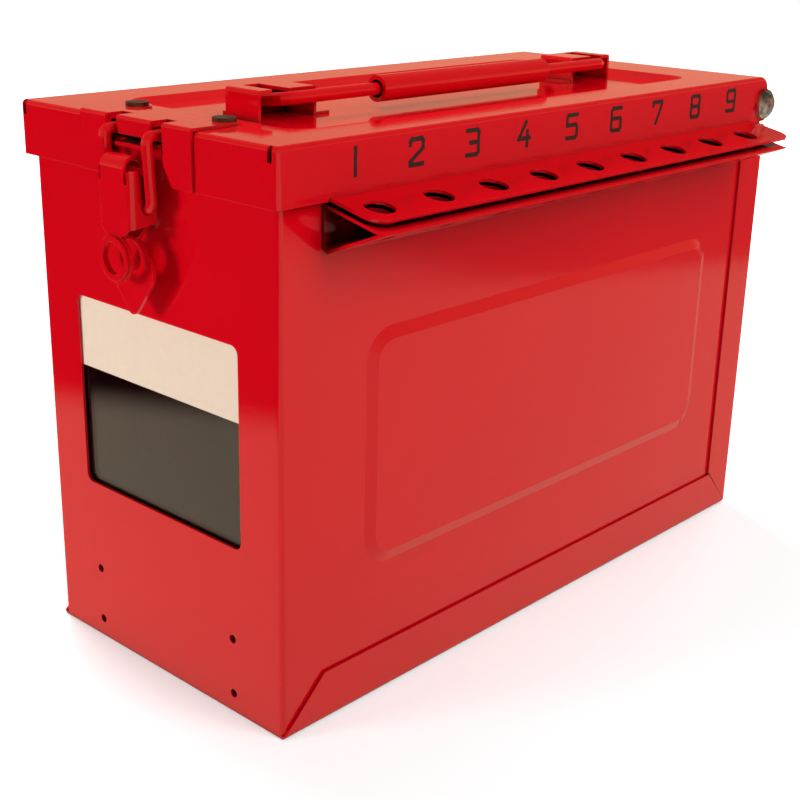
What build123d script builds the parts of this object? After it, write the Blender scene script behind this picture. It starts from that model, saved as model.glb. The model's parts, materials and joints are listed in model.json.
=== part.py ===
from build123d import *
import os
from math import cos, radians, sin, sqrt, tan

os.makedirs("parts", exist_ok=True)

# A group lockout box. X runs from the latch end to the hinge end, Y from the front to the back and
# Z up. The origin is at the middle of the base. Sizes are in millimetres.

# Body
body_length = 268.0
body_depth = 118.0
sheet = 1.0
rim_height = 181.5
wrap_bend = 1.6
panel_height = 80.5
panel_from_latch_end = 35.8
panel_from_hinge_end = 37.2
panel_bottom = 47.2
panel_raise = 1.4
panel_bevel = 4.0
panel_corner = 11.0

# Base strip, whose flanges lap over the front and the back
flange_width = 16.8
flange_height = 17.5
end_wall_below_rim = 13.0
strip_bend = 1.6
mitre_gap = 0.35

# Window in the latch end, with its pane, card and frame
window_width = 80.8
window_bottom = 59.4
window_height = 66.8
window_corner = 3.0
pane_thickness = 2.0
pane_margin = 4.0
card_thickness = 0.4
card_height = 27.2
card_margin = 2.5
frame_border = 4.0
slide_clearance = 0.15

# Small mounting holes under the window
mount_hole = 3.0
mount_pitch_across = 71.0
mount_pitch_up = 20.0
mount_hole_low = 6.8

# Rim and closing plate at the hinge end
rim_width = 5.0
rim_leg = 6.0
rim_corner = 3.0
upright_from_end = 19.0

# Hinge
pin_from_end = 7.3
pin_below_rim = 4.1
pin_diameter = 5.0
pin_clearance = 0.1
pin_head_diameter = 11.6
pin_head_rim = 1.7
pin_head_height = 2.7
pin_peen_diameter = 8.5
pin_peen_height = 2.0
washer_diameter = 10.0
washer_thickness = 1.0
ear_radius = 6.0
ear_web = 4.2
barrel_diameter = 8.0

# Lid
lid_rise = 6.5
skirt_depth = 17.5
skirt_overhang_latch = 3.3
skirt_overhang_side = 2.6
lid_short_of_end = 3.5
lid_bend = 2.0
lid_edge = 1.4
lid_roll = 5.0
lip_depth = 3.6
lid_ear_radius = 6.5
relief_slit_inset = 2.6
relief_slit_width = 1.8
relief_slit_depth = 4.5

# Recess in the lid's top
recess_from_latch_end = 21.0
recess_from_hinge_end = 33.5
recess_from_front = 15.0
recess_from_back = 18.0
recess_depth = 2.5
recess_bevel = 4.0
recess_corner = 10.0

# Gasket
gasket_width = 4.0
gasket_inset = 1.4
gasket_clearance = 0.3

# Padlock shelves
lock_count = 9
lock_pitch = 25.4
lock_hole = 9.6
lock_first = 26.5
lock_hole_reach = 10.6
shelf_before_lock = 9.5
shelf_past_lock = 22.3
shelf_reach = 19.4
shelf_slope = 12.0
shelf_root_rise = 1.2
shelf_corner = 6.0
bracket_before_lock = 10.0
bracket_past_lock = 12.3
bracket_gap = 1.2
bracket_foot_drop = 15.6
bracket_foot_slope = 21.8
bracket_fold_radius = 2.2

# Latch plate on the lid and its opening
plate_width = 53.5
plate_reach = 10.5
plate_ear_radius = 4.6
plate_thickness = 1.0
opening_width = 27.0
opening_flare = 4.3
opening_flare_height = 6.5
opening_corner = 3.0
strap_width = 16.4
strap_height = 5.4
notch_back = 2.2
rivet_across = 42.0
rivet_inset = 13.3
rivet_shank = 4.0
rivet_head = 7.4
rivet_head_height = 1.1
rivet_tail = 6.0
rivet_tail_height = 1.2

# Wire bail of the latch
bail_wire = 3.5
bail_width = 20.6
bail_bend = 2.2
bail_drop = 21.5
bail_pin_reach = 4.1
bail_clearance = 1.4
bail_lean = 1.2
bail_seat_gap = 0.2
bail_roof_gap = 0.3

# Lever
lever_width = 16.0
lever_sheet = 1.0
lever_height = 21.8
lever_depth = 10.1
lever_below_pivot = 6.3
lever_pivot_in = 6.6
lever_bend = 2.6
lever_heel = 1.2
curl_radius = 4.0
curl_length = 7.6
curl_slit = 1.4
curl_slit_low = 7.3
tab_radius = 7.6
tab_drop = 9.3
tab_hole = 10.2
tab_collar = 1.8
tab_collar_height = 0.9
tab_root_width = 14.0
tab_neck_width = 6.4
tab_neck_drop = 2.6
hole_clearance = 0.2

# Catch and hasp plate on the body
catch_sheet = 1.2
catch_width = 18.0
catch_height = 11.0
catch_corner = 2.0
lip_width = 14.0
lip_reach = 6.0
hasp_gap = 6.1
hasp_half_width = 11.0
hasp_side_radius = 6.0
hasp_tip_radius = 3.0
hasp_tip_drop = 11.5
hasp_below_tab_hole = 4.2
hasp_neck_width = 8.0
hasp_bend_height = 10.4
hasp_step = 5.5
hasp_weld_height = 8.0

# Carrying handle
bracket_from_latch_bevel = 9.3
bracket_from_hinge_bevel = 8.0
handle_wire_diameter = 4.2
handle_leg = 15.2
handle_rise = 2.1
handle_pin_past_wall = 3.0
handle_bend = 4.0
handle_pivot_y = -0.1
handle_pivot_rise = 4.7
grip_length = 89.0
grip_diameter = 8.8
grip_bore = 6.0
handle_bracket_length = 25.0
handle_bracket_outer = 8.8
handle_bracket_height = 9.5
handle_bracket_sheet = 1.2
handle_bracket_front = 12.2
handle_bracket_back = 3.3
handle_bracket_foot = 6.0
handle_back_foot = 5.5
handle_back_foot_length = 18.0
handle_slot_outer = 2.8
handle_slot_inner = 4.2
foot_thickness = 1.0
inner_foot_width = 9.0
inner_foot_y = -7.5

# Straight chords round each bend of a wire
chords_per_bend = 3

# Places worked out from the sizes
latch_end = -body_length / 2
hinge_end = body_length / 2
wall_face = body_depth / 2
wrap_finish = hinge_end - sheet
wall_corner = wrap_bend - sheet
end_wall_top = rim_height - end_wall_below_rim
upright = hinge_end - upright_from_end
pin_x = hinge_end - pin_from_end
pin_height = rim_height - pin_below_rim
lid_top = rim_height + lid_rise
lid_latch_face = latch_end - skirt_overhang_latch
lid_side_face = wall_face + skirt_overhang_side
lid_finish = hinge_end - lid_short_of_end
skirt_bottom = lid_top - skirt_depth
lid_inside = lid_top - sheet
recess_floor = lid_top - recess_depth
recess_length = body_length - recess_from_latch_end - recess_from_hinge_end
recess_width = body_depth - recess_from_front - recess_from_back
recess_middle = latch_end + recess_from_latch_end + recess_length / 2
recess_middle_y = (recess_from_front - recess_from_back) / 2
panel_length = body_length - panel_from_latch_end - panel_from_hinge_end
panel_middle = latch_end + panel_from_latch_end + panel_length / 2
panel_middle_height = panel_bottom + panel_height / 2
window_middle = window_bottom + window_height / 2
lock_row_y = -lid_side_face - lock_hole_reach
lock_row_length = lock_pitch * (lock_count - 1)
lock_row_middle = latch_end + lock_first + lock_row_length / 2
shelf_from = latch_end + lock_first - shelf_before_lock
shelf_length = shelf_before_lock + lock_row_length + shelf_past_lock
shelf_root = skirt_bottom + shelf_root_rise
shelf_fall = tan(radians(shelf_slope))
bracket_from = latch_end + lock_first - bracket_before_lock
bracket_length = bracket_before_lock + lock_row_length + bracket_past_lock
bracket_top = shelf_root + skirt_overhang_side * shelf_fall - sheet / cos(radians(shelf_slope)) - bracket_gap
bracket_foot = bracket_top - bracket_foot_drop
bracket_reach = bracket_foot_drop / (shelf_fall + tan(radians(bracket_foot_slope)))
bracket_point = bracket_top - bracket_reach * shelf_fall
plate_face = lid_latch_face - plate_thickness
strap_bottom = lid_top + plate_thickness - strap_height
bail_radius = bail_wire / 2
bail_axis_x = lid_latch_face + bail_radius + bail_seat_gap
bail_axis_z = lid_inside - bail_radius - bail_roof_gap
bail_leg_x = plate_face - bail_clearance - bail_radius
bail_pivot_x = bail_leg_x + bail_lean
pivot_z = bail_axis_z - bail_drop
lever_bottom = pivot_z - lever_below_pivot
lever_top = lever_bottom + lever_height
lever_face_x = bail_pivot_x - lever_pivot_in
lever_back_x = lever_face_x + lever_depth
tab_hole_z = lever_bottom - tab_drop
catch_lip_z = rim_height - catch_sheet / 2
hasp_z = tab_hole_z - hasp_below_tab_hole
bracket_latch_end = latch_end + recess_from_latch_end + recess_bevel + bracket_from_latch_bevel
bracket_hinge_end = hinge_end - recess_from_hinge_end - recess_bevel - bracket_from_hinge_bevel
handle_x = (bracket_latch_end + bracket_hinge_end) / 2
handle_reach = (bracket_hinge_end - bracket_latch_end) / 2
handle_half_span = handle_reach - handle_bracket_outer
handle_pivot_z = recess_floor + handle_pivot_rise
handle_bar_y = handle_pivot_y - handle_leg
handle_bar_z = handle_pivot_z + handle_rise


def bent_plan(x_from, x_to, width, bend):
    """Rectangle in plan whose two corners at the latch end are rounded like bends in the sheet."""
    with BuildSketch() as plan:
        with Locations(((x_from + x_to) / 2, 0)):
            Rectangle(x_to - x_from, width)
        fillet(plan.vertices().group_by(Axis.X)[0], bend)
    return plan.sketch


def latch_opening(top):
    """Opening in the lid's end and the latch plate up to the height top, flared towards its bottom."""
    half = opening_width / 2
    flared = half + opening_flare
    shoulder = skirt_bottom + opening_flare_height
    with BuildSketch() as opening:
        with BuildLine():
            Polyline(
                (-flared, skirt_bottom - sheet),
                (-flared, skirt_bottom),
                (-half, shoulder),
                (-half, top),
                (half, top),
                (half, shoulder),
                (flared, skirt_bottom),
                (flared, skirt_bottom - sheet),
                close=True,
            )
        make_face()
        shoulders = opening.vertices().filter_by_position(Axis.Y, shoulder - sheet, shoulder + sheet)
        fillet(shoulders, opening_corner)
    return opening.sketch


def dome_mid(base, rim, height, direction):
    """Middle point of the arc from a dome's top to its rim, as (along, radius)."""
    ball = (rim * rim + height * height) / (2 * height)
    middle_radius = rim / 2
    along = sqrt(ball * ball - middle_radius * middle_radius) - (ball - height)
    return (base + direction * along, middle_radius)


def bent_wire(points, bend, diameter):
    """Round wire through the points, with straight chords round each bend."""
    with BuildLine() as smooth:
        FilletPolyline(*points, radius=bend)
    places = [smooth.line @ 0]
    for edge in smooth.wire().order_edges():
        steps = 1 if edge.geom_type == GeomType.LINE else chords_per_bend
        places += [edge @ (step / steps) for step in range(1, steps + 1)]
    with BuildPart() as wire:
        with BuildLine() as chords:
            Polyline(*places)
        with BuildSketch(Plane(origin=chords.line @ 0, z_dir=chords.line % 0)):
            Circle(diameter / 2)
        sweep(transition=Transition.RIGHT)
    return wire.part


wall_outside = bent_plan(latch_end, wrap_finish, body_depth, wrap_bend)
wall_inside = bent_plan(latch_end + sheet, wrap_finish, body_depth - 2 * sheet, wall_corner)

# Front, latch end and back, bent from one sheet
with BuildPart() as body_wrap:
    with BuildSketch(Plane.XY.offset(sheet)):
        add(wall_outside)
        add(wall_inside, mode=Mode.SUBTRACT)
    extrude(amount=pin_height + ear_radius - sheet)
    with BuildSketch(Plane.XZ) as side_view:
        with BuildLine():
            Polyline(
                (latch_end, sheet),
                (wrap_finish, sheet),
                (wrap_finish, end_wall_top),
                (pin_x + ear_web, end_wall_top),
                (pin_x + ear_web, pin_height),
                (pin_x, pin_height),
                (pin_x, rim_height),
                (latch_end, rim_height),
                close=True,
            )
        make_face()
        with Locations((pin_x, pin_height)):
            Circle(ear_radius)
            Circle(pin_diameter / 2 + pin_clearance, mode=Mode.SUBTRACT)
    extrude(amount=body_depth, both=True, mode=Mode.INTERSECT)
    split(bisect_by=Plane.XZ, keep=Keep.TOP)
    for face, mode in ((wall_face, Mode.ADD), (wall_face - sheet, Mode.SUBTRACT)):
        with BuildSketch(Plane.XZ.offset(face)):
            with Locations((panel_middle, panel_middle_height)):
                RectangleRounded(panel_length, panel_height, panel_corner)
        with BuildSketch(Plane.XZ.offset(face + panel_raise)):
            with Locations((panel_middle, panel_middle_height)):
                RectangleRounded(
                    panel_length - 2 * panel_bevel,
                    panel_height - 2 * panel_bevel,
                    panel_corner - panel_bevel,
                )
        loft(ruled=True, mode=mode)
    mirror(about=Plane.XZ)
    with BuildSketch(Plane.YZ.offset(latch_end)):
        with Locations((0, window_middle)):
            RectangleRounded(window_width, window_height, window_corner)
        with Locations((0, mount_hole_low + mount_pitch_up / 2)):
            with GridLocations(mount_pitch_across, mount_pitch_up, 2, 2):
                Circle(mount_hole / 2)
    extrude(amount=sheet, mode=Mode.SUBTRACT)
body_wrap.part.label = "body_wrap"
export_step(body_wrap.part, "parts/body_wrap.step")

# Bottom and hinge end, bent from a second sheet with mitred flanges
with BuildPart() as base_strip:
    with Locations((0, 0, end_wall_top / 2)):
        Box(body_length, body_depth + 2 * sheet, end_wall_top)
    bottom_edges = base_strip.edges().group_by(Axis.Z)[0]
    bottom_bends = bottom_edges.filter_by(lambda e: e.center().X > latch_end + sheet)
    end_bends = base_strip.edges().filter_by(Axis.Z).group_by(Axis.X)[-1]
    fillet(bottom_bends + end_bends, strip_bend)
    with BuildSketch(Plane.XZ):
        with BuildLine():
            Polyline(
                (latch_end, sheet),
                (wrap_finish, sheet),
                (wrap_finish, end_wall_top),
                (latch_end, end_wall_top),
                close=True,
            )
        make_face()
    extrude(amount=wall_face, both=True, mode=Mode.SUBTRACT)
    with BuildSketch(Plane.XZ):
        with BuildLine():
            Polyline(
                (latch_end - sheet, sheet),
                (latch_end, sheet),
                (latch_end + flange_height, flange_height),
                (hinge_end - flange_width, flange_height),
                (hinge_end - flange_width, end_wall_top),
                (latch_end - sheet, end_wall_top),
                close=True,
            )
        make_face()
    extrude(amount=body_depth, both=True, mode=Mode.SUBTRACT)
    with BuildSketch(Plane.XZ):
        with BuildLine():
            Polyline(
                (hinge_end - flange_width - mitre_gap, flange_height + sheet),
                (hinge_end - flange_width + mitre_gap, flange_height + sheet),
                (wrap_finish, sheet),
                close=True,
            )
        make_face()
    extrude(amount=body_depth, both=True, mode=Mode.SUBTRACT)
base_strip.part.label = "base_strip"
export_step(base_strip.part, "parts/base_strip.step")

# Inward rim round the opening, with a leg welded to the wall
rim_outside = bent_plan(latch_end + sheet, upright, body_depth - 2 * sheet, wall_corner)
leg_inside = bent_plan(latch_end + 2 * sheet, upright - sheet, body_depth - 4 * sheet, wall_corner)
rim_inside = bent_plan(
    latch_end + sheet + rim_width,
    upright - rim_width,
    body_depth - 2 * (sheet + rim_width),
    rim_corner,
)
with BuildPart() as rim_flange:
    with BuildSketch(Plane.XY.offset(rim_height - sheet)):
        add(rim_outside)
        add(rim_inside, mode=Mode.SUBTRACT)
    extrude(amount=sheet)
    with BuildSketch(Plane.XY.offset(rim_height - sheet - rim_leg)):
        add(rim_outside)
        add(leg_inside, mode=Mode.SUBTRACT)
    extrude(amount=rim_leg)
rim_flange.part.label = "rim_flange"
export_step(rim_flange.part, "parts/rim_flange.step")

# Ledge and upright that close the body under the hinge
with BuildPart() as hinge_end_plate:
    with BuildSketch(Plane.XZ):
        with BuildLine():
            Polyline(
                (upright, end_wall_top - sheet),
                (wrap_finish - sheet, end_wall_top - sheet),
                (wrap_finish - sheet, end_wall_top - rim_leg),
                (wrap_finish, end_wall_top - rim_leg),
                (wrap_finish, end_wall_top),
                (upright + sheet, end_wall_top),
                (upright + sheet, rim_height),
                (upright, rim_height),
                close=True,
            )
        make_face()
    extrude(amount=wall_face - sheet, both=True)
hinge_end_plate.part.label = "hinge_end_plate"
export_step(hinge_end_plate.part, "parts/hinge_end_plate.step")

# Tube round the pin between the body's two ears
with BuildPart() as hinge_barrel:
    with BuildSketch(Plane.XZ):
        with Locations((pin_x, pin_height)):
            Circle(barrel_diameter / 2)
            Circle(pin_diameter / 2 + pin_clearance, mode=Mode.SUBTRACT)
    extrude(amount=wall_face - sheet, both=True)
hinge_barrel.part.label = "hinge_barrel"
export_step(hinge_barrel.part, "parts/hinge_barrel.step")

# Pin with a domed head in front and a peened end behind its washer
peen_face = lid_side_face + washer_thickness
with BuildPart() as hinge_pin:
    with BuildSketch(Plane.YZ.offset(pin_x)):
        head_mid = dome_mid(-lid_side_face - pin_head_rim, pin_head_diameter / 2, pin_head_height, -1)
        with BuildLine():
            Polyline(
                (-lid_side_face - pin_head_rim, pin_height + pin_head_diameter / 2),
                (-lid_side_face, pin_height + pin_head_diameter / 2),
                (-lid_side_face, pin_height + pin_diameter / 2),
                (peen_face, pin_height + pin_diameter / 2),
                (peen_face, pin_height + pin_peen_diameter / 2),
                (peen_face + pin_peen_height / 2, pin_height + pin_peen_diameter / 2),
                (peen_face + pin_peen_height, pin_height + pin_diameter / 2),
                (peen_face + pin_peen_height, pin_height),
                (-lid_side_face - pin_head_rim - pin_head_height, pin_height),
            )
            ThreePointArc(
                (-lid_side_face - pin_head_rim - pin_head_height, pin_height),
                (head_mid[0], pin_height + head_mid[1]),
                (-lid_side_face - pin_head_rim, pin_height + pin_head_diameter / 2),
            )
        make_face()
    revolve(axis=Axis((pin_x, 0, pin_height), (0, 1, 0)))
hinge_pin.part.label = "hinge_pin"
export_step(hinge_pin.part, "parts/hinge_pin.step")

with BuildPart() as hinge_washer:
    with BuildSketch(Plane.XZ.offset(-peen_face)):
        with Locations((pin_x, pin_height)):
            Circle(washer_diameter / 2)
            Circle(pin_diameter / 2 + pin_clearance, mode=Mode.SUBTRACT)
    extrude(amount=washer_thickness)
hinge_washer.part.label = "hinge_washer"
export_step(hinge_washer.part, "parts/hinge_washer.step")

# Triangular padlock bracket under the lid's shelf
with BuildPart() as body_lock_shelf:
    with BuildSketch(Plane.YZ.offset(bracket_from)) as bracket_section:
        with BuildLine():
            Polyline(
                (-wall_face, bracket_top),
                (-wall_face - bracket_reach, bracket_point),
                (-wall_face, bracket_foot),
                close=True,
            )
        make_face()
        fillet(bracket_section.vertices().group_by(Axis.Y)[0], bracket_fold_radius)
        offset(amount=-sheet, kind=Kind.INTERSECTION, mode=Mode.SUBTRACT)
    extrude(amount=bracket_length)
    with BuildSketch(Plane.XY.offset(bracket_foot)):
        with Locations((lock_row_middle, lock_row_y)):
            with GridLocations(lock_pitch, 1, lock_count, 1):
                Circle(lock_hole / 2)
    extrude(amount=bracket_top - bracket_foot, mode=Mode.SUBTRACT)
body_lock_shelf.part.label = "body_lock_shelf"
export_step(body_lock_shelf.part, "parts/body_lock_shelf.step")

# Catch on the latch end, whose lip stands in the lid's opening
with BuildPart() as latch_catch:
    with BuildSketch(Plane.YZ.offset(latch_end)):
        with Locations((0, rim_height - catch_height / 2)):
            Rectangle(catch_width, catch_height)
    extrude(amount=-catch_sheet)
    with BuildSketch(Plane.YZ.offset(latch_end)):
        with Locations((0, catch_lip_z)):
            Rectangle(lip_width, catch_sheet)
    extrude(amount=-lip_reach)
    fillet(latch_catch.edges().filter_by(Axis.X).group_by(Axis.Z)[0], catch_corner)
latch_catch.part.label = "latch_catch"
export_step(latch_catch.part, "parts/latch_catch.step")

# Fixed plate behind the lever's tab
hasp_front = latch_end - hasp_gap - catch_sheet
hasp_bend_z = hasp_z + hasp_bend_height
with BuildPart() as hasp_plate:
    with BuildSketch(Plane.XZ):
        with BuildLine():
            Polyline(
                (latch_end, hasp_bend_z + hasp_step + hasp_weld_height),
                (latch_end - catch_sheet, hasp_bend_z + hasp_step + hasp_weld_height),
                (latch_end - catch_sheet, hasp_bend_z + hasp_step),
                (hasp_front, hasp_bend_z),
                (hasp_front, hasp_z - hasp_half_width - hasp_tip_drop),
                (hasp_front + catch_sheet, hasp_z - hasp_half_width - hasp_tip_drop),
                (hasp_front + catch_sheet, hasp_bend_z - catch_sheet / 2),
                (latch_end, hasp_bend_z + hasp_step - catch_sheet / 2),
                close=True,
            )
        make_face()
    extrude(amount=hasp_half_width, both=True)
    with BuildSketch(Plane.YZ) as hasp_outline:
        with BuildSketch(mode=Mode.PRIVATE) as teardrop:
            with Locations((0, hasp_z)):
                with GridLocations(2 * (hasp_half_width - hasp_side_radius), 1, 2, 1):
                    Circle(hasp_side_radius)
            with Locations((0, hasp_z - hasp_tip_drop)):
                Circle(hasp_tip_radius)
            with Locations((0, hasp_bend_z - catch_sheet)):
                Rectangle(hasp_neck_width, catch_sheet)
            make_hull()
        add(teardrop.sketch)
        with Locations((0, hasp_bend_z + (hasp_step + hasp_weld_height) / 2 - hasp_bend_height / 2)):
            Rectangle(hasp_neck_width, hasp_step + hasp_weld_height + hasp_bend_height)
        with Locations((0, tab_hole_z)):
            Circle(tab_hole / 2, mode=Mode.SUBTRACT)
    extrude(amount=body_length, both=True, mode=Mode.INTERSECT)
hasp_plate.part.label = "hasp_plate"
export_step(hasp_plate.part, "parts/hasp_plate.step")

# Window frame, pane and card, inside the latch end
inner_face = latch_end + sheet
pane_from = inner_face + card_thickness + slide_clearance
pane_width = window_width + 2 * pane_margin
pane_height = window_height + 2 * pane_margin
pocket_depth = card_thickness + pane_thickness + 2 * slide_clearance
with BuildPart() as window_frame:
    with BuildSketch(Plane.YZ.offset(inner_face)):
        with Locations((0, window_middle)):
            RectangleRounded(pane_width + 2 * frame_border, pane_height + 2 * frame_border, window_corner)
    extrude(amount=pocket_depth + sheet)
    with BuildSketch(Plane.YZ.offset(inner_face)):
        with Locations((0, window_middle)):
            Rectangle(pane_width + 2 * slide_clearance, pane_height + 2 * slide_clearance)
    extrude(amount=pocket_depth, mode=Mode.SUBTRACT)
    with BuildSketch(Plane.YZ.offset(inner_face)):
        with Locations((0, window_middle)):
            RectangleRounded(window_width, window_height, window_corner)
    extrude(amount=pocket_depth + sheet, mode=Mode.SUBTRACT)
window_frame.part.label = "window_frame"
export_step(window_frame.part, "parts/window_frame.step")

with BuildPart() as window_pane:
    with BuildSketch(Plane.YZ.offset(pane_from)):
        with Locations((0, window_middle)):
            Rectangle(pane_width, pane_height)
    extrude(amount=pane_thickness)
window_pane.part.label = "window_pane"
export_step(window_pane.part, "parts/window_pane.step")

card_bottom = window_bottom + window_height + card_margin - card_height
with BuildPart() as window_card:
    with BuildSketch(Plane.YZ.offset(inner_face)):
        with Locations((0, card_bottom + card_height / 2)):
            Rectangle(window_width + 2 * card_margin, card_height)
    extrude(amount=card_thickness)
window_card.part.label = "window_card"
export_step(window_card.part, "parts/window_card.step")

# Lid: skirt, recessed top, rolled hinge end, ears and padlock shelf
with BuildPart() as lid_shell:
    with BuildSketch(Plane.XY.offset(skirt_bottom)):
        add(bent_plan(lid_latch_face, lid_finish, 2 * lid_side_face, lid_bend))
    extrude(amount=skirt_depth)
    fillet(lid_shell.faces().sort_by(Axis.Z)[-1].edges().group_by(Axis.X)[-1], lid_roll)
    top_edges = lid_shell.faces().sort_by(Axis.Z)[-1].edges()
    fillet(top_edges.filter_by(lambda edge: edge.center().X < lid_finish - lid_roll - sheet), lid_edge)
    with BuildSketch(Plane.XZ) as inside_view:
        with BuildLine():
            Polyline(
                (lid_latch_face + sheet, skirt_bottom),
                (lid_finish - sheet, skirt_bottom),
                (lid_finish - sheet, lid_inside),
                (lid_latch_face + sheet, lid_inside),
                close=True,
            )
        make_face()
        fillet(inside_view.vertices().group_by(Axis.Y)[-1].sort_by(Axis.X)[-1], lid_roll - sheet)
    extrude(amount=lid_side_face - sheet, both=True, mode=Mode.SUBTRACT)
    with Locations((lid_finish, 0, (skirt_bottom + lid_inside - lip_depth) / 2)):
        Box(
            2 * lid_roll,
            2 * (lid_side_face - sheet),
            lid_inside - lip_depth - skirt_bottom,
            mode=Mode.SUBTRACT,
        )
    with BuildSketch(Plane.XZ.offset(lid_side_face)):
        with Locations((pin_x, pin_height)):
            Circle(lid_ear_radius)
    extrude(amount=-sheet)
    with BuildSketch(Plane.XZ.offset(-lid_side_face)):
        with Locations((pin_x, pin_height)):
            Circle(lid_ear_radius)
    extrude(amount=sheet)
    with BuildSketch(Plane.XZ):
        with Locations((pin_x, pin_height)):
            Circle(pin_diameter / 2 + pin_clearance)
    extrude(amount=body_depth, both=True, mode=Mode.SUBTRACT)
    for drop, grow, mode in ((sheet, sheet, Mode.ADD), (0, 0, Mode.SUBTRACT)):
        with BuildSketch(Plane.XY.offset(lid_top - drop)):
            with Locations((recess_middle, recess_middle_y)):
                RectangleRounded(recess_length + 2 * grow, recess_width + 2 * grow, recess_corner + grow)
        with BuildSketch(Plane.XY.offset(recess_floor - drop)):
            with Locations((recess_middle, recess_middle_y)):
                RectangleRounded(
                    recess_length - 2 * recess_bevel + 2 * grow,
                    recess_width - 2 * recess_bevel + 2 * grow,
                    recess_corner - recess_bevel + grow,
                )
        loft(ruled=True, mode=mode)
    shelf_plane = Plane(
        origin=(0, -lid_side_face, shelf_root),
        x_dir=(1, 0, 0),
        z_dir=(0, -sin(radians(shelf_slope)), cos(radians(shelf_slope))),
    )
    with BuildSketch(shelf_plane) as shelf_plan:
        with Locations((shelf_from + shelf_length / 2, (sheet - shelf_reach) / 2)):
            Rectangle(shelf_length, shelf_reach + sheet)
        fillet(shelf_plan.vertices().group_by(Axis.Y)[0], shelf_corner)
    extrude(amount=-sheet)
    with BuildSketch(Plane.XY.offset(bracket_foot)):
        with Locations((lock_row_middle, lock_row_y)):
            with GridLocations(lock_pitch, 1, lock_count, 1):
                Circle(lock_hole / 2)
    extrude(amount=shelf_root - bracket_foot, mode=Mode.SUBTRACT)
    with BuildSketch(Plane.YZ.offset(plate_face)):
        add(latch_opening(lid_inside))
    extrude(amount=plate_thickness + sheet, mode=Mode.SUBTRACT)
    for side in (-1, 1):
        notch_width = (opening_width - strap_width) / 2
        notch_length = latch_end + notch_back - plate_face
        with Locations((plate_face + notch_length / 2, side * (strap_width + notch_width) / 2, lid_top)):
            Box(notch_length, notch_width, 2 * strap_height, mode=Mode.SUBTRACT)
        with Locations((lid_latch_face + sheet / 2, side * (lid_side_face - relief_slit_inset), lid_top)):
            Box(2 * sheet, relief_slit_width, 2 * relief_slit_depth, mode=Mode.SUBTRACT)
    with BuildSketch(Plane.XY.offset(lid_top)):
        with Locations((latch_end + rivet_inset, 0)):
            with GridLocations(1, rivet_across, 1, 2):
                Circle(rivet_shank / 2)
    extrude(amount=-sheet, mode=Mode.SUBTRACT)
lid_shell.part.label = "lid_shell"
export_step(lid_shell.part, "parts/lid_shell.step")

# Rubber gasket under the lid, over the body's rim
gasket_finish = upright - gasket_inset + sheet
with BuildPart() as lid_gasket:
    with BuildSketch(Plane.XY.offset(rim_height + gasket_clearance)):
        add(
            bent_plan(
                latch_end + gasket_inset,
                gasket_finish,
                body_depth - 2 * gasket_inset,
                rim_corner,
            )
        )
        add(
            bent_plan(
                latch_end + gasket_inset + gasket_width,
                gasket_finish - gasket_width,
                body_depth - 2 * (gasket_inset + gasket_width),
                rim_corner,
            ),
            mode=Mode.SUBTRACT,
        )
    extrude(amount=lid_inside - rim_height - gasket_clearance)
lid_gasket.part.label = "lid_gasket"
export_step(lid_gasket.part, "parts/lid_gasket.step")

# Plate over the lid's edge, whose strap holds the bail
plate_back = latch_end + plate_reach
with BuildPart() as latch_plate:
    with BuildSketch(Plane.XZ):
        with BuildLine():
            Polyline(
                (plate_face, skirt_bottom),
                (lid_latch_face, skirt_bottom),
                (lid_latch_face, lid_top),
                (plate_back, lid_top),
                (plate_back, lid_top + plate_thickness),
                (plate_face, lid_top + plate_thickness),
                close=True,
            )
        make_face()
    extrude(amount=plate_width / 2, both=True)
    fillet(latch_plate.edges().filter_by(Axis.Y).group_by(Axis.Z)[-1].sort_by(Axis.X)[0], plate_thickness)
    with BuildSketch(Plane.XY.offset(lid_top)):
        with Locations((latch_end + rivet_inset, 0)):
            with GridLocations(1, rivet_across, 1, 2):
                Circle(plate_ear_radius)
        with Locations((latch_end + rivet_inset / 2, 0)):
            with GridLocations(1, rivet_across, 1, 2):
                Rectangle(rivet_inset, 2 * plate_ear_radius)
    extrude(amount=plate_thickness)
    with BuildSketch(Plane.YZ.offset(plate_face)):
        add(latch_opening(strap_bottom))
    extrude(amount=plate_thickness, mode=Mode.SUBTRACT)
    for side in (-1, 1):
        notch_width = (opening_width - strap_width) / 2
        notch_length = latch_end + notch_back - plate_face
        with Locations((plate_face + notch_length / 2, side * (strap_width + notch_width) / 2, lid_top)):
            Box(notch_length, notch_width, 2 * strap_height, mode=Mode.SUBTRACT)
    with BuildSketch(Plane.XY.offset(lid_top)):
        with Locations((latch_end + rivet_inset, 0)):
            with GridLocations(1, rivet_across, 1, 2):
                Circle(rivet_shank / 2)
    extrude(amount=plate_thickness, mode=Mode.SUBTRACT)
latch_plate.part.label = "latch_plate"
export_step(latch_plate.part, "parts/latch_plate.step")

# Two flat-headed rivets through plate and lid
plate_top = lid_top + plate_thickness
with BuildPart() as latch_plate_rivets:
    with Locations((latch_end + rivet_inset, -rivet_across / 2), (latch_end + rivet_inset, rivet_across / 2)):
        with Locations((0, 0, plate_top)):
            Cylinder(rivet_head / 2, rivet_head_height, align=(Align.CENTER, Align.CENTER, Align.MIN))
        with Locations((0, 0, lid_inside)):
            Cylinder(rivet_shank / 2, plate_top - lid_inside, align=(Align.CENTER, Align.CENTER, Align.MIN))
            Cylinder(rivet_tail / 2, rivet_tail_height, align=(Align.CENTER, Align.CENTER, Align.MAX))
latch_plate_rivets.part.label = "latch_plate_rivets"
export_step(latch_plate_rivets.part, "parts/latch_plate_rivets.step")

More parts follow.
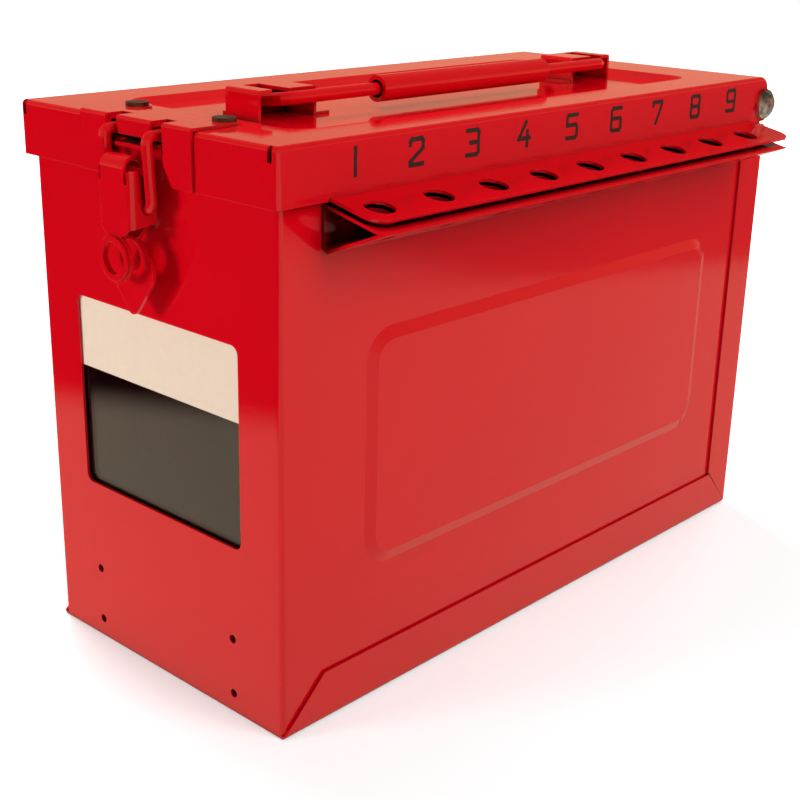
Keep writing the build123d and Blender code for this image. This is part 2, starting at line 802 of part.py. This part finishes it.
# Wire bail, bent through the notches and into the lever
bail_half = bail_width / 2
latch_bail = bent_wire(
    (
        (bail_pivot_x, -bail_half + bail_pin_reach, pivot_z),
        (bail_pivot_x, -bail_half, pivot_z),
        (bail_leg_x, -bail_half, bail_axis_z),
        (bail_axis_x, -bail_half, bail_axis_z),
        (bail_axis_x, bail_half, bail_axis_z),
        (bail_leg_x, bail_half, bail_axis_z),
        (bail_pivot_x, bail_half, pivot_z),
        (bail_pivot_x, bail_half - bail_pin_reach, pivot_z),
    ),
    bail_bend,
    bail_wire,
)
latch_bail.label = "latch_bail"
export_step(latch_bail, "parts/latch_bail.step")

# Lever: a channel with a curled top and a padlock tab
curl_z = lever_top - curl_radius
curl_half_width = lever_width / 2 - lever_sheet - curl_slit
with BuildPart() as latch_lever:
    with BuildSketch(Plane.XZ):
        with BuildLine():
            Polyline(
                (lever_face_x, lever_bottom),
                (lever_back_x, lever_bottom + lever_heel),
                (lever_back_x, pivot_z + bail_wire),
                (lever_face_x + curl_radius, curl_z),
                (lever_face_x, curl_z),
                close=True,
            )
        make_face()
    extrude(amount=lever_width / 2, both=True)
    fillet(latch_lever.edges().filter_by(Axis.Z).group_by(Axis.X)[0], lever_bend)
    with Locations((lever_face_x + lever_sheet + lever_depth / 2, 0, (lever_bottom + lever_top) / 2)):
        Box(lever_depth, lever_width - 2 * lever_sheet, 2 * lever_height, mode=Mode.SUBTRACT)
    with BuildSketch(Plane.XZ):
        with Locations((lever_face_x + curl_radius, curl_z)):
            Circle(curl_radius)
            Circle(curl_radius - lever_sheet, mode=Mode.SUBTRACT)
        with Locations((lever_face_x + curl_radius, curl_z - curl_radius)):
            Rectangle(2 * curl_radius, 2 * curl_radius, mode=Mode.SUBTRACT)
        with Locations((lever_face_x + curl_length + curl_radius, curl_z)):
            Rectangle(2 * curl_radius, 2 * curl_radius, mode=Mode.SUBTRACT)
    extrude(amount=curl_half_width, both=True)
    with BuildSketch(Plane.YZ.offset(lever_face_x)):
        for side in (-1, 1):
            with Locations((side * (curl_half_width + curl_slit / 2), lever_top - curl_slit_low)):
                Circle(curl_slit / 2)
                Rectangle(curl_slit, curl_slit_low, align=(Align.CENTER, Align.MIN))
    extrude(amount=lever_sheet, mode=Mode.SUBTRACT)
    with BuildSketch(Plane.YZ.offset(lever_face_x)):
        with BuildLine():
            Polyline(
                (-tab_root_width / 2, lever_bottom + lever_sheet),
                (-tab_root_width / 2, lever_bottom),
                (-tab_neck_width / 2, lever_bottom - tab_neck_drop),
                (0, tab_hole_z),
                (tab_neck_width / 2, lever_bottom - tab_neck_drop),
                (tab_root_width / 2, lever_bottom),
                (tab_root_width / 2, lever_bottom + lever_sheet),
                close=True,
            )
        make_face()
        with Locations((0, tab_hole_z)):
            Circle(tab_radius)
    extrude(amount=lever_sheet)
    with BuildSketch(Plane.YZ.offset(lever_face_x)):
        with Locations((0, tab_hole_z)):
            Circle(tab_hole / 2 + tab_collar)
    extrude(amount=-tab_collar_height)
    with BuildSketch(Plane.YZ.offset(lever_face_x - tab_collar_height)):
        with Locations((0, tab_hole_z)):
            Circle(tab_hole / 2)
    extrude(amount=tab_collar_height + lever_sheet, mode=Mode.SUBTRACT)
    with BuildSketch(Plane.XZ):
        with Locations((bail_pivot_x, pivot_z)):
            Circle(bail_radius + hole_clearance)
    extrude(amount=lever_width, both=True, mode=Mode.SUBTRACT)
latch_lever.part.label = "latch_lever"
export_step(latch_lever.part, "parts/latch_lever.step")


def handle_bracket(side):
    """Pocket welded to the lid for one end of the handle's wire; side is -1 towards the latch."""
    leg_x = handle_x + side * handle_half_span
    inner_x = handle_x + side * (handle_reach - handle_bracket_length)
    middle_x = inner_x + side * handle_bracket_length / 2
    middle_y = (handle_bracket_back - handle_bracket_front) / 2
    width = handle_bracket_back + handle_bracket_front
    wall = handle_bracket_sheet
    with BuildPart() as bracket:
        with Locations((middle_x, middle_y, recess_floor + handle_bracket_height / 2)):
            Box(handle_bracket_length, width, handle_bracket_height)
        top_edges = bracket.faces().sort_by(Axis.Z)[-1].edges().filter_by(Axis.Y)
        fillet(top_edges, wall)
        pocket_height = handle_bracket_height - wall
        with Locations((middle_x, middle_y - wall / 2, recess_floor + pocket_height / 2)):
            Box(handle_bracket_length - 2 * wall, width - wall, pocket_height, mode=Mode.SUBTRACT)
        slot_middle_x = leg_x + side * (handle_slot_outer - handle_slot_inner) / 2
        with Locations((slot_middle_x, middle_y - wall / 2, recess_floor + handle_bracket_height)):
            Box(handle_slot_outer + handle_slot_inner, width - wall, 4 * wall, mode=Mode.SUBTRACT)
        with BuildSketch(Plane.XY.offset(recess_floor)):
            with Locations((inner_x - side * (handle_bracket_foot - wall) / 2, inner_foot_y)):
                Rectangle(handle_bracket_foot + wall, inner_foot_width)
            with Locations((middle_x, handle_bracket_back + (handle_back_foot - wall) / 2)):
                Rectangle(handle_back_foot_length, handle_back_foot + wall)
        extrude(amount=foot_thickness)
        with BuildSketch(Plane.YZ.offset(inner_x)):
            with Locations((handle_pivot_y, handle_pivot_z)):
                Circle(handle_wire_diameter / 2 + pin_clearance)
        extrude(amount=2 * wall, both=True, mode=Mode.SUBTRACT)
    return bracket.part


handle_bracket_left = handle_bracket(-1)
handle_bracket_left.label = "handle_bracket_left"
export_step(handle_bracket_left, "parts/handle_bracket_left.step")

handle_bracket_right = handle_bracket(1)
handle_bracket_right.label = "handle_bracket_right"
export_step(handle_bracket_right, "parts/handle_bracket_right.step")

# Wire bail of the handle, its ends turned inwards through the brackets' inner walls
handle_pin_end = handle_reach - handle_bracket_length - handle_pin_past_wall
handle_wire = bent_wire(
    (
        (handle_x - handle_pin_end, handle_pivot_y, handle_pivot_z),
        (handle_x - handle_half_span, handle_pivot_y, handle_pivot_z),
        (handle_x - handle_half_span, handle_bar_y, handle_bar_z),
        (handle_x + handle_half_span, handle_bar_y, handle_bar_z),
        (handle_x + handle_half_span, handle_pivot_y, handle_pivot_z),
        (handle_x + handle_pin_end, handle_pivot_y, handle_pivot_z),
    ),
    handle_bend,
    handle_wire_diameter,
)
handle_wire.label = "handle_wire"
export_step(handle_wire, "parts/handle_wire.step")

# Loose tube on the wire
with BuildPart() as handle_grip:
    with BuildSketch(Plane.YZ.offset(handle_x - grip_length / 2)):
        with Locations((handle_bar_y, handle_bar_z)):
            Circle(grip_diameter / 2)
            Circle(grip_bore / 2, mode=Mode.SUBTRACT)
    extrude(amount=grip_length)
handle_grip.part.label = "handle_grip"
export_step(handle_grip.part, "parts/handle_grip.step")
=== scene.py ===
import json

import bmesh
import bpy
from mathutils import Matrix, Vector


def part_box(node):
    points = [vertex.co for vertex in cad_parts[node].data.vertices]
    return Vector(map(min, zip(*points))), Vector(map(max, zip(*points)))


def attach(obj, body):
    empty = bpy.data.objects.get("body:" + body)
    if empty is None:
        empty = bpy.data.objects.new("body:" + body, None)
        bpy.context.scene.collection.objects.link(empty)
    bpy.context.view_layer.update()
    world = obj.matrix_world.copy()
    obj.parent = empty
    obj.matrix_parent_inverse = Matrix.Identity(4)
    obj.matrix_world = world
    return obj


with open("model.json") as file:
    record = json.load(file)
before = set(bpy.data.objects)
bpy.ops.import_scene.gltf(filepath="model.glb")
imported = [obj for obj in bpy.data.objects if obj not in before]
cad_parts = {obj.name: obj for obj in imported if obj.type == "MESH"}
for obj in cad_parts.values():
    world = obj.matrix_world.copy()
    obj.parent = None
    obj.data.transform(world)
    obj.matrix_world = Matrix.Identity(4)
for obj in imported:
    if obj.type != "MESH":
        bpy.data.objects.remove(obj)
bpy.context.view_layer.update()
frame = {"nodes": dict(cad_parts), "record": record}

MM = 0.001
WHITE = (1.0, 1.0, 1.0)

# Camera, solved from the photograph's edges. Its place is in millimetres from the middle of the base.
CAMERA_EYE = Vector((-388.8, -339.2, 250.6)) * MM
CAMERA_RIGHT = Vector((0.6807, -0.7322, 0.0215))
CAMERA_FORWARD = Vector((0.6943, 0.6356, -0.3375))
CAMERA_LENS = 62.4
CAMERA_SENSOR = 36.0

# Finishes. A noise is its scale, detail and roughness, and a bump its strength and distance. A ramp keeps its first
# colour up to the first of its places and has its second colour from the second place on.
PLAIN_RAMP = (0.3, 0.7)
EDGE_RADIUS = 0.25 * MM
EDGE_SAMPLES = 4

ENAMEL_RED = (0.67, 0.0010, 0.0075)
ENAMEL_DEEP = (0.62, 0.0006, 0.0065)
ENAMEL_CLOUD = (9.0, 3.0, 0.5)
ENAMEL_GLOSS = (60.0, 2.0, 0.5)
ENAMEL_ROUGHNESS = (0.05, 0.10)
ENAMEL_PEEL = (420.0, 1.0, 0.5)
ENAMEL_BUMP = (0.10, 0.12 * MM)
ENAMEL_IOR = 1.5

# Painted shade in the enamel's gaps and corners: how far it looks, and how open a place is where the shade is full and
# where it ends
ENAMEL_SHADE = (0.03, 0.0004, 0.001)
PLAIN_SHADE = (4.5 * MM, 0.18, 0.72)
BRACKET_SHADE = (12.0 * MM, 0.50, 0.92)
SHADE_SAMPLES = 8

PIN_GREY = (0.62, 0.62, 0.60)
PIN_DARK = (0.20, 0.20, 0.20)
RIVET_GREY = (0.16, 0.15, 0.12)
RIVET_DARK = (0.05, 0.05, 0.045)
STEEL_CLOUD = (350.0, 4.0, 0.6)
STEEL_RAMP = (0.35, 0.6)
STEEL_ROUGHNESS = (0.28, 0.45)
STEEL_BUMP = (0.2, 0.1 * MM)

RUBBER_BLACK = (0.015, 0.015, 0.015)
RUBBER_WORN = (0.03, 0.03, 0.03)
RUBBER_CLOUD = (700.0, 3.0, 0.5)
RUBBER_ROUGHNESS = 0.75
RUBBER_BUMP = (0.4, 0.2 * MM)

CARD_CREAM = (0.80, 0.63, 0.49)
CARD_PALE = (0.832, 0.6552, 0.5096)
CARD_FIBRES = (240.0, 4.0, 0.7)
CARD_ROUGHNESS = 0.85
CARD_BUMP = (0.15, 0.08 * MM)

PANE_TINT = (0.60, 0.54, 0.48)
PANE_CLOUD = (20.0, 2.0, 0.5)
PANE_ROUGHNESS = (0.02, 0.06)
PANE_IOR = 1.6

PRINT_DARK = (0.030, 0.012, 0.010)
PRINT_WORN = (0.038, 0.020, 0.018)
PRINT_CLOUD = (900.0, 3.0, 0.6)
PRINT_RAMP = (0.3, 0.5)
PRINT_ROUGHNESS = 0.7

# Floor. The camera sees it glow white, less so near the box, so that its shadow shows. Reflections show a pale
# table with straight far edges and dark beyond them. An edge is a direction along the floor and how far out, in
# that direction, the change begins and ends.
FLOOR_SIZE = 6.0
FLOOR_DROP = 0.2 * MM
FLOOR_WHITE = (0.80, 0.80, 0.80)
FLOOR_NEAR = 0.16
FLOOR_FAR = 0.72
FLOOR_GLOW = (0.35, 1.0)
TABLE_PALE = (0.72, 0.60, 0.46)
TABLE_DARK = (0.006, 0.006, 0.010)
TABLE_DIM = (0.20, 0.15, 0.13)
LEFT_EDGE = ((-0.89, 0.46, 0.0), 0.335, 0.385)
FRONT_EDGE = ((0.39, -0.92, 0.0), 0.445, 0.505)
FRONT_CORNER = ((1.0, 0.0, 0.0), 0.26, 0.42)

# World. It is white to the camera and through the pane. Reflections show a pale band low down and a dim room
# above it. The places are heights, from 0 at the horizon to 1 overhead.
WORLD_SOFT = 0.10
BAND_PALE = (0.85, 0.42, 0.26)
ROOM_DIM = (0.17, 0.15, 0.10)
BAND_PLACES = (0.06, 0.30)

# Lamps: name, place, aim, size of a side and watts
LAMPS = (
    ("key", (-1.4, 0.62, 0.35), (0.0, 0.0, 0.10), 0.4, 12.0),
    ("fill", (0.1, -1.15, 1.0), (0.0, 0.0, 0.05), 0.9, 13.8),
    ("top", (-0.1, -0.4, 1.5), (0.0, 0.0, 0.10), 1.2, 4.0),
    ("rear", (0.3, 1.2, 1.4), (0.0, 0.0, 0.10), 0.8, 25.0),
    ("side", (1.5, 0.2, 0.8), (0.0, 0.0, 0.10), 0.8, 9.0),
)

# Numbers printed on the lid's front skirt. Each stroke stands a little higher than the last, so that none lie in
# one plane where they cross.
DIGIT_FIRST = 27.3 * MM
DIGIT_PITCH = 26.0 * MM
DIGIT_MIDDLE = 180.8 * MM
DIGIT_HEIGHT = 9.0 * MM
DIGIT_WIDTH = 7.0 * MM
DIGIT_STROKE = 1.4 * MM
DIGIT_LIFT = 0.03 * MM
STROKE_STEP = 0.004 * MM
# Strokes of each digit in a box of width 1 and height 1, with the breaks of a stencil
DIGIT_STROKES = {
    1: [[(0.5, 0.0), (0.5, 1.0)]],
    2: [[(0.0, 0.80), (0.0, 0.92), (0.12, 1.0), (0.88, 1.0), (1.0, 0.90), (1.0, 0.62), (0.0, 0.12)],
        [(0.0, 0.0), (1.0, 0.0)]],
    3: [[(0.0, 1.0), (0.88, 1.0), (1.0, 0.9), (1.0, 0.6)],
        [(0.3, 0.5), (0.85, 0.5)],
        [(1.0, 0.4), (1.0, 0.1), (0.88, 0.0), (0.0, 0.0)]],
    4: [[(0.62, 1.0), (0.0, 0.32), (1.0, 0.32)],
        [(0.78, 0.0), (0.78, 0.6)]],
    5: [[(1.0, 1.0), (0.1, 1.0)],
        [(0.0, 0.9), (0.0, 0.56), (0.86, 0.56), (1.0, 0.46)],
        [(1.0, 0.36), (1.0, 0.1), (0.86, 0.0), (0.0, 0.0)]],
    6: [[(1.0, 1.0), (0.12, 1.0), (0.0, 0.9), (0.0, 0.56)],
        [(0.0, 0.46), (0.0, 0.1), (0.12, 0.0), (0.88, 0.0), (1.0, 0.1), (1.0, 0.44), (0.88, 0.54),
         (0.15, 0.54)]],
    7: [[(0.0, 0.86), (0.0, 1.0), (1.0, 1.0), (1.0, 0.88), (0.42, 0.0)]],
    8: [[(0.12, 0.56), (0.0, 0.64), (0.0, 0.9), (0.12, 1.0), (0.88, 1.0), (1.0, 0.9), (1.0, 0.64),
         (0.88, 0.56)],
        [(0.12, 0.5), (0.88, 0.5)],
        [(0.0, 0.42), (0.0, 0.1), (0.12, 0.0), (0.88, 0.0), (1.0, 0.1), (1.0, 0.42)]],
    9: [[(0.85, 0.46), (0.12, 0.46), (0.0, 0.56), (0.0, 0.9), (0.12, 1.0), (0.88, 1.0), (1.0, 0.9),
         (1.0, 0.54)],
        [(1.0, 0.44), (1.0, 0.1), (0.88, 0.0), (0.0, 0.0)]],
}


def feed(links, value, socket):
    """Gives a colour socket a plain colour or another node's output."""
    if isinstance(value, tuple):
        socket.default_value = (*value, 1.0)
    else:
        links.new(value, socket)


def new_material(name):
    """Material whose node tree holds only a Principled shader and its output."""
    material = bpy.data.materials.new(name)
    material.use_nodes = True
    nodes = material.node_tree.nodes
    nodes.clear()
    output = nodes.new("ShaderNodeOutputMaterial")
    shader = nodes.new("ShaderNodeBsdfPrincipled")
    material.node_tree.links.new(shader.outputs["BSDF"], output.inputs["Surface"])
    return material, nodes, material.node_tree.links, shader


def object_noise(nodes, links, settings):
    """Noise in the object's own coordinates."""
    scale, detail, roughness = settings
    place = nodes.new("ShaderNodeTexCoord")
    noise = nodes.new("ShaderNodeTexNoise")
    noise.inputs["Scale"].default_value = scale
    noise.inputs["Detail"].default_value = detail
    noise.inputs["Roughness"].default_value = roughness
    links.new(place.outputs["Object"], noise.inputs["Vector"])
    return noise.outputs["Fac"]


def ramp(nodes, links, factor, low, high, places=PLAIN_RAMP):
    """Colour ramp between two colours."""
    node = nodes.new("ShaderNodeValToRGB")
    for element, position, colour in zip(node.color_ramp.elements, places, (low, high)):
        element.position = position
        element.color = (*colour, 1.0)
    links.new(factor, node.inputs["Fac"])
    return node.outputs["Color"]


def spread(nodes, links, factor, ends):
    """Maps a factor of 0 to 1 onto the range between two ends."""
    node = nodes.new("ShaderNodeMapRange")
    node.inputs["To Min"].default_value, node.inputs["To Max"].default_value = ends
    links.new(factor, node.inputs["Value"])
    return node.outputs["Result"]


def rising(nodes, links, value, start, end, curve="LINEAR"):
    """Factor that rises from 0 to 1 while a value goes from start to end."""
    node = nodes.new("ShaderNodeMapRange")
    node.interpolation_type = curve
    node.inputs["From Min"].default_value = start
    node.inputs["From Max"].default_value = end
    links.new(value, node.inputs["Value"])
    return node.outputs["Result"]


def blended(nodes, links, factor, low, high):
    """Colour that is low where the factor is 0 and high where it is 1."""
    mix = nodes.new("ShaderNodeMix")
    mix.data_type = "RGBA"
    links.new(factor, mix.inputs["Factor"])
    feed(links, low, mix.inputs["A"])
    feed(links, high, mix.inputs["B"])
    return mix.outputs["Result"]


def combined(nodes, links, operation, first, second):
    """Two factors put together by an operation."""
    node = nodes.new("ShaderNodeMath")
    node.operation = operation
    links.new(first, node.inputs[0])
    links.new(second, node.inputs[1])
    return node.outputs["Value"]


def switched(nodes, links, factor, first, second):
    """Shader that is the first where the factor is 0 and the second where it is 1."""
    mix = nodes.new("ShaderNodeMixShader")
    links.new(factor, mix.inputs["Fac"])
    links.new(first, mix.inputs[1])
    links.new(second, mix.inputs[2])
    return mix.outputs["Shader"]


def bump(nodes, links, height, settings):
    """Bump from a height, over edges that are rounded a little."""
    strength, distance = settings
    edge = nodes.new("ShaderNodeBevel")
    edge.samples = EDGE_SAMPLES
    edge.inputs["Radius"].default_value = EDGE_RADIUS
    node = nodes.new("ShaderNodeBump")
    node.inputs["Strength"].default_value = strength
    node.inputs["Distance"].default_value = distance
    links.new(height, node.inputs["Height"])
    links.new(edge.outputs["Normal"], node.inputs["Normal"])
    return node.outputs["Normal"]


def shaded(nodes, links, colour, shade, extent):
    """Colour that turns to a darker shade in gaps and corners."""
    reach, closed, wide = extent
    hollow = nodes.new("ShaderNodeAmbientOcclusion")
    hollow.samples = SHADE_SAMPLES
    hollow.inputs["Distance"].default_value = reach
    open_part = rising(nodes, links, hollow.outputs["AO"], closed, wide)
    return blended(nodes, links, open_part, shade, colour)


def enamel(name, extent):
    """Glossy red stoving enamel with a slight orange peel, darkened by painted shade in its gaps and corners."""
    material, nodes, links, shader = new_material(name)
    cloud = object_noise(nodes, links, ENAMEL_CLOUD)
    paint = ramp(nodes, links, cloud, ENAMEL_DEEP, ENAMEL_RED)
    links.new(shaded(nodes, links, paint, ENAMEL_SHADE, extent), shader.inputs["Base Color"])
    gloss = object_noise(nodes, links, ENAMEL_GLOSS)
    links.new(spread(nodes, links, gloss, ENAMEL_ROUGHNESS), shader.inputs["Roughness"])
    shader.inputs["IOR"].default_value = ENAMEL_IOR
    peel = object_noise(nodes, links, ENAMEL_PEEL)
    links.new(bump(nodes, links, peel, ENAMEL_BUMP), shader.inputs["Normal"])
    return material


def bare_steel(name, dark, pale):
    """Plated steel, a little mottled between two greys."""
    material, nodes, links, shader = new_material(name)
    cloud = object_noise(nodes, links, STEEL_CLOUD)
    links.new(ramp(nodes, links, cloud, dark, pale, STEEL_RAMP), shader.inputs["Base Color"])
    shader.inputs["Metallic"].default_value = 1.0
    links.new(spread(nodes, links, cloud, STEEL_ROUGHNESS), shader.inputs["Roughness"])
    links.new(bump(nodes, links, cloud, STEEL_BUMP), shader.inputs["Normal"])
    return material


def rubber(name):
    """Black sponge rubber."""
    material, nodes, links, shader = new_material(name)
    cloud = object_noise(nodes, links, RUBBER_CLOUD)
    links.new(ramp(nodes, links, cloud, RUBBER_BLACK, RUBBER_WORN), shader.inputs["Base Color"])
    shader.inputs["Roughness"].default_value = RUBBER_ROUGHNESS
    links.new(bump(nodes, links, cloud, RUBBER_BUMP), shader.inputs["Normal"])
    return material


def card():
    """Cream card behind the pane."""
    material, nodes, links, shader = new_material("cream_card")
    fibres = object_noise(nodes, links, CARD_FIBRES)
    links.new(ramp(nodes, links, fibres, CARD_CREAM, CARD_PALE), shader.inputs["Base Color"])
    shader.inputs["Roughness"].default_value = CARD_ROUGHNESS
    links.new(bump(nodes, links, fibres, CARD_BUMP), shader.inputs["Normal"])
    return material


def clear_pane():
    """Clear acrylic sheet with a grey-brown cast."""
    material, nodes, links, shader = new_material("clear_pane")
    shader.inputs["Base Color"].default_value = (*PANE_TINT, 1.0)
    cloud = object_noise(nodes, links, PANE_CLOUD)
    links.new(spread(nodes, links, cloud, PANE_ROUGHNESS), shader.inputs["Roughness"])
    shader.inputs["IOR"].default_value = PANE_IOR
    shader.inputs["Transmission Weight"].default_value = 1.0
    return material


def printed():
    """Dark ink of the numbers, worn a little thin."""
    material, nodes, links, shader = new_material("number_ink")
    cloud = object_noise(nodes, links, PRINT_CLOUD)
    links.new(ramp(nodes, links, cloud, PRINT_WORN, PRINT_DARK, PRINT_RAMP), shader.inputs["Base Color"])
    shader.inputs["Roughness"].default_value = PRINT_ROUGHNESS
    return material


def dress(finishes):
    """Gives each CAD node the finish made for it, or else the one of its material slot."""
    slots = {entry["node"]: entry["material_slot"] for entry in frame["record"]["subparts"]}
    for name, node in frame["nodes"].items():
        node.data.materials.clear()
        node.data.materials.append(finishes.get(name, finishes[slots[name]]))


def number(digit, centre_x, skirt_y, material):
    """One printed digit as thin strokes that lie on the skirt."""
    mesh = bpy.data.meshes.new(f"number_{digit}")
    build = bmesh.new()
    half = DIGIT_STROKE / 2
    width = DIGIT_WIDTH - DIGIT_STROKE
    height = DIGIT_HEIGHT - DIGIT_STROKE
    lift = DIGIT_LIFT
    for stroke in DIGIT_STROKES[digit]:
        points = [Vector((centre_x + (u - 0.5) * width, DIGIT_MIDDLE + (v - 0.5) * height)) for u, v in stroke]
        for start, end in zip(points, points[1:]):
            lift += STROKE_STEP
            along = (end - start).normalized() * half
            side = Vector((-along.y, along.x))
            corners = [start - along - side, end + along - side, end + along + side, start - along + side]
            low = [build.verts.new((c.x, skirt_y, c.y)) for c in corners]
            high = [build.verts.new((c.x, skirt_y - lift, c.y)) for c in corners]
            build.faces.new(high)
            build.faces.new(low[::-1])
            for i in range(4):
                j = (i + 1) % 4
                build.faces.new((low[i], low[j], high[j], high[i]))
    bmesh.ops.recalc_face_normals(build, faces=build.faces)
    build.to_mesh(mesh)
    build.free()
    piece = bpy.data.objects.new(f"number_{digit}", mesh)
    bpy.context.collection.objects.link(piece)
    mesh.materials.append(material)
    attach(piece, "lid")


def make_camera():
    """Camera at the photograph's viewing angle."""
    data = bpy.data.cameras.new("camera")
    data.lens = CAMERA_LENS
    data.sensor_width = CAMERA_SENSOR
    camera = bpy.data.objects.new("camera", data)
    bpy.context.collection.objects.link(camera)
    forward = CAMERA_FORWARD.normalized()
    right = (CAMERA_RIGHT - forward * CAMERA_RIGHT.dot(forward)).normalized()
    up = right.cross(forward)
    turn = Matrix((right, up, -forward)).transposed()
    camera.matrix_world = Matrix.Translation(CAMERA_EYE) @ turn.to_4x4()
    bpy.context.scene.camera = camera


def far_from_box(nodes, links):
    """Factor that rises from 0 near the box to 1 far from it, along the floor."""
    place = nodes.new("ShaderNodeNewGeometry")
    distance = nodes.new("ShaderNodeVectorMath")
    distance.operation = "LENGTH"
    links.new(place.outputs["Position"], distance.inputs[0])
    return rising(nodes, links, distance.outputs["Value"], FLOOR_NEAR, FLOOR_FAR, "SMOOTHSTEP")


def beyond(nodes, links, edge):
    """Factor that rises from 0 to 1 across a straight edge on the floor."""
    direction, inner, outer = edge
    place = nodes.new("ShaderNodeNewGeometry")
    along = nodes.new("ShaderNodeVectorMath")
    along.operation = "DOT_PRODUCT"
    along.inputs[1].default_value = direction
    links.new(place.outputs["Position"], along.inputs[0])
    return rising(nodes, links, along.outputs["Value"], inner, outer, "SMOOTHSTEP")


def floor_material():
    """Matt white that glows to the camera, and the table that reflections show in its place."""
    material, nodes, links, shader = new_material("floor_white")
    shader.inputs["Base Color"].default_value = (*FLOOR_WHITE, 1.0)
    shader.inputs["Roughness"].default_value = 1.0
    shader.inputs["Specular IOR Level"].default_value = 0.0
    shader.inputs["Emission Color"].default_value = (*WHITE, 1.0)
    ray = nodes.new("ShaderNodeLightPath")
    glow = spread(nodes, links, far_from_box(nodes, links), FLOOR_GLOW)
    seen = combined(nodes, links, "MULTIPLY", ray.outputs["Is Camera Ray"], glow)
    links.new(seen, shader.inputs["Emission Strength"])

    front = combined(nodes, links, "MULTIPLY", beyond(nodes, links, FRONT_EDGE), beyond(nodes, links, FRONT_CORNER))
    table = blended(nodes, links, beyond(nodes, links, LEFT_EDGE), TABLE_PALE, TABLE_DARK)
    table = blended(nodes, links, front, table, TABLE_DIM)
    mirrored = nodes.new("ShaderNodeEmission")
    links.new(table, mirrored.inputs["Color"])

    is_mirrored = ray.outputs["Is Glossy Ray"]
    surface = switched(nodes, links, is_mirrored, shader.outputs["BSDF"], mirrored.outputs["Emission"])
    output = next(node for node in nodes if node.bl_idname == "ShaderNodeOutputMaterial")
    links.new(surface, output.inputs["Surface"])
    return material


def make_floor():
    """Plain floor just under the box."""
    mesh = bpy.data.meshes.new("floor")
    build = bmesh.new()
    bmesh.ops.create_grid(build, x_segments=1, y_segments=1, size=FLOOR_SIZE / 2)
    build.to_mesh(mesh)
    build.free()
    mesh.materials.append(floor_material())
    floor = bpy.data.objects.new("floor", mesh)
    bpy.context.collection.objects.link(floor)
    floor.location.z = -FLOOR_DROP


def background(nodes, links, colour, strength=1.0):
    """Background of the world in one colour or another node's output."""
    node = nodes.new("ShaderNodeBackground")
    feed(links, colour, node.inputs["Color"])
    node.inputs["Strength"].default_value = strength
    return node.outputs["Background"]


def make_world():
    """World that differs for the camera and the pane, for reflections, and for the soft light it gives."""
    world = bpy.data.worlds.new("studio")
    bpy.context.scene.world = world
    world.use_nodes = True
    nodes = world.node_tree.nodes
    links = world.node_tree.links
    nodes.clear()
    direction = nodes.new("ShaderNodeTexCoord")
    height = nodes.new("ShaderNodeSeparateXYZ")
    links.new(direction.outputs["Generated"], height.inputs["Vector"])
    room = ramp(nodes, links, height.outputs["Z"], BAND_PALE, ROOM_DIM, BAND_PLACES)
    ray = nodes.new("ShaderNodeLightPath")
    direct = combined(nodes, links, "MAXIMUM", ray.outputs["Is Camera Ray"], ray.outputs["Is Transmission Ray"])
    plain = switched(nodes, links, direct, background(nodes, links, WHITE, WORLD_SOFT), background(nodes, links, WHITE))
    whole = switched(nodes, links, ray.outputs["Is Glossy Ray"], plain, background(nodes, links, room))
    output = nodes.new("ShaderNodeOutputWorld")
    links.new(whole, output.inputs["Surface"])


def soft_light(name, place, aim, size, power):
    """Square soft light at a place, turned to its aim, in metres and watts."""
    data = bpy.data.lights.new(name, "AREA")
    data.shape = "SQUARE"
    data.size = size
    data.energy = power
    light = bpy.data.objects.new(name, data)
    bpy.context.collection.objects.link(light)
    light.location = place
    light.rotation_mode = "QUATERNION"
    light.rotation_quaternion = (Vector(aim) - Vector(place)).to_track_quat("-Z", "Y")
    light.visible_glossy = False


make_camera()
make_world()
make_floor()
for lamp in LAMPS:
    soft_light(*lamp)

# Finishes by material slot, and by node where a node's own differs from its slot's
dress(
    {
        "red_enamel": enamel("red_enamel", PLAIN_SHADE),
        # The lock shelf's enamel looks further for its painted shade, which darkens its holes and the hollow of its
        # bracket.
        "body_lock_shelf": enamel("bracket_enamel_painted_shade", BRACKET_SHADE),
        "bare_steel": bare_steel("pin_steel", PIN_DARK, PIN_GREY),
        "latch_plate_rivets": bare_steel("rivet_steel", RIVET_DARK, RIVET_GREY),
        # The pane's frame is black rubber in place of its red enamel: a painted shade for the dark gap round the pane.
        "window_frame": rubber("frame_shade_black"),
        "gasket_rubber": rubber("gasket_rubber"),
        "clear_plastic": clear_pane(),
        "card": card(),
    }
)

# The lid's front skirt stands as far forward as its back skirt stands back; the padlock shelf reaches further.
skirt_front = -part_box("lid_shell")[1].y
body_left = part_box("body_wrap")[0].x
ink = printed()
for place, digit in enumerate(DIGIT_STROKES):
    number(digit, body_left + DIGIT_FIRST + place * DIGIT_PITCH, skirt_front, ink)

bpy.context.scene.view_settings.view_transform = "Standard"
